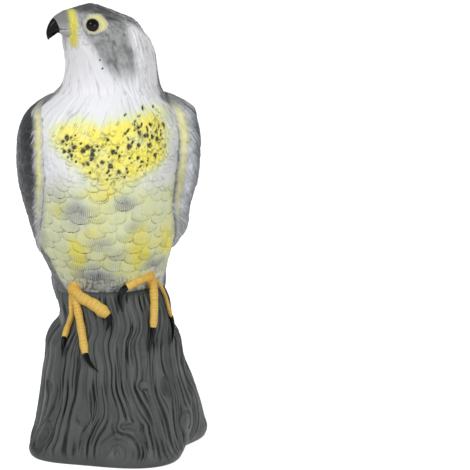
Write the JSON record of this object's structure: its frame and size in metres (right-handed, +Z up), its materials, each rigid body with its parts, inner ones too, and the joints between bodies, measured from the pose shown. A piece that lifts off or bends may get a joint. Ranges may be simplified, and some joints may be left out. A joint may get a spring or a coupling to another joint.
{
  "type": "falcon decoy",
  "caption": "Life-size hollow plastic falcon perched on a tree stump, with a sand-fill plug in the base, set out in gardens to scare birds.",
  "frame": {"origin": "middle of the part seen from above, on the plane that the stump stands on", "axes": "+Z up; the breast faces -Y, the bird's left wing is at +X and its beak points to -X and a little to -Y"},
  "size_m": [0.1717, 0.1849, 0.4083],
  "materials": {
    "feather_paint": "painted matt plastic with moulded feathers",
    "wing_paint": "painted matt plastic with moulded feathers",
    "bark": "satin moulded plastic with bark grooves",
    "toe_paint": "satin paint over moulded scales",
    "black_paint": "semi-gloss black paint",
    "eye": "polished black bead",
    "plug": "soft moulded plastic"
  },
  "bodies": {
    "decoy": {"stump_shell": "bark", "bird_shell": "feather_paint", "wing_left": "wing_paint", "wing_right": "wing_paint", "tail": "wing_paint", "beak_hook": "black_paint", "eye_left": "eye", "eye_right": "eye", "foot_left": "toe_paint", "foot_right": "toe_paint", "talon_left_inner": "black_paint", "talon_left_middle": "black_paint", "talon_left_outer": "black_paint", "talon_right_inner": "black_paint", "talon_right_middle": "black_paint", "talon_right_outer": "black_paint"},
    "plug": {"base_plug": "plug"}
  },
  "joints": [
    {"name": "plug_pull", "type": "slide", "parent": "decoy", "child": "plug", "axis": [0, 0, -1], "range_m": [0, 0.012]}
  ]
}
